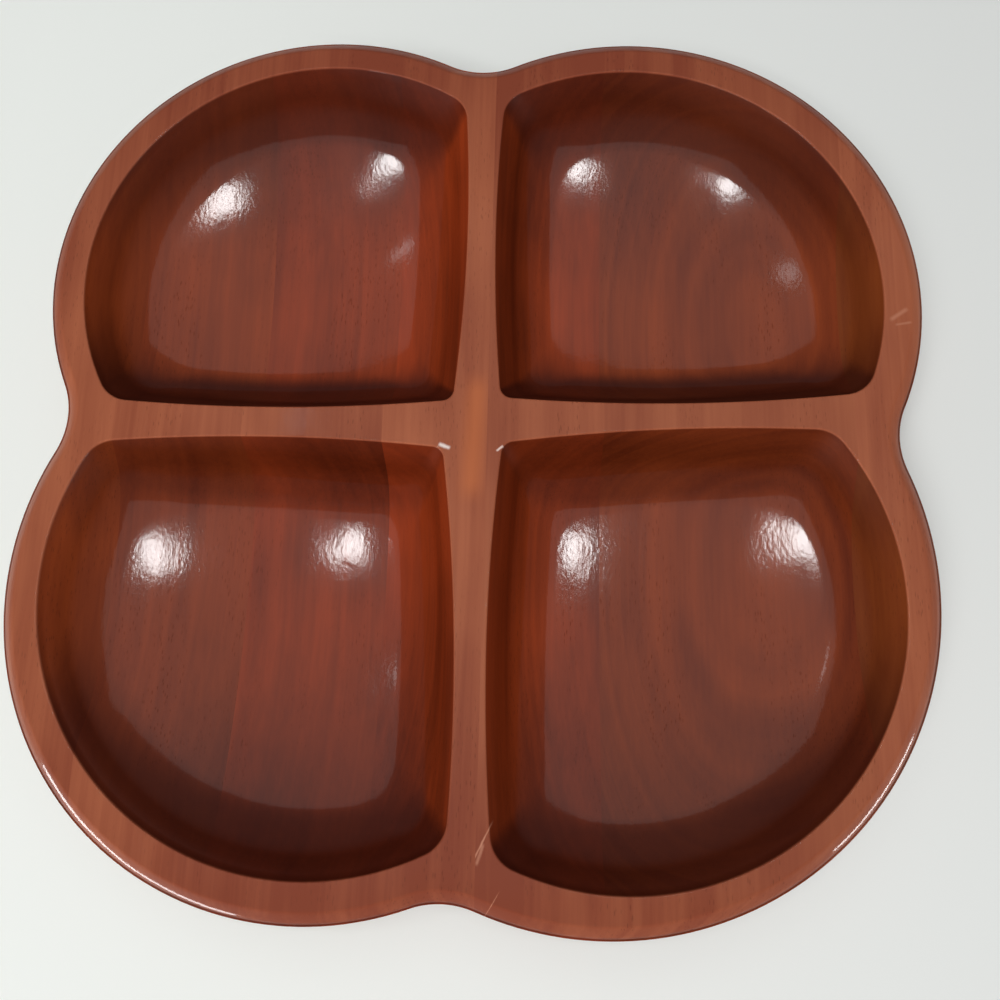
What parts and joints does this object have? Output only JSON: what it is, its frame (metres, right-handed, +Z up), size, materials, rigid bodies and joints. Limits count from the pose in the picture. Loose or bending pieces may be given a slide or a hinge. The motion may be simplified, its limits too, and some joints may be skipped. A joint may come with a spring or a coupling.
{
  "type": "divided serving bowl",
  "caption": "Low wooden serving bowl with rounded lobes and dished compartments, parted by a cross of slim dividers level with the rim.",
  "frame": {"origin": "on the table under the middle of the bowl's outline", "axes": "+X across the boards to the right, +Y along the boards to the back, +Z up out of the compartments"},
  "size_m": [0.32, 0.325, 0.042],
  "materials": {
    "left_edge_board": "gloss lacquer",
    "left_outer_board": "gloss lacquer",
    "left_inner_board": "gloss lacquer",
    "middle_board": "gloss lacquer",
    "right_inner_board": "gloss lacquer",
    "right_wide_board": "gloss lacquer",
    "right_edge_board": "gloss lacquer"
  },
  "bodies": {
    "root": {"left_edge_board": "left_edge_board", "left_outer_board": "left_outer_board", "left_inner_board": "left_inner_board", "middle_board": "middle_board", "right_inner_board": "right_inner_board", "right_wide_board": "right_wide_board", "right_edge_board": "right_edge_board"}
  },
  "joints": []
}
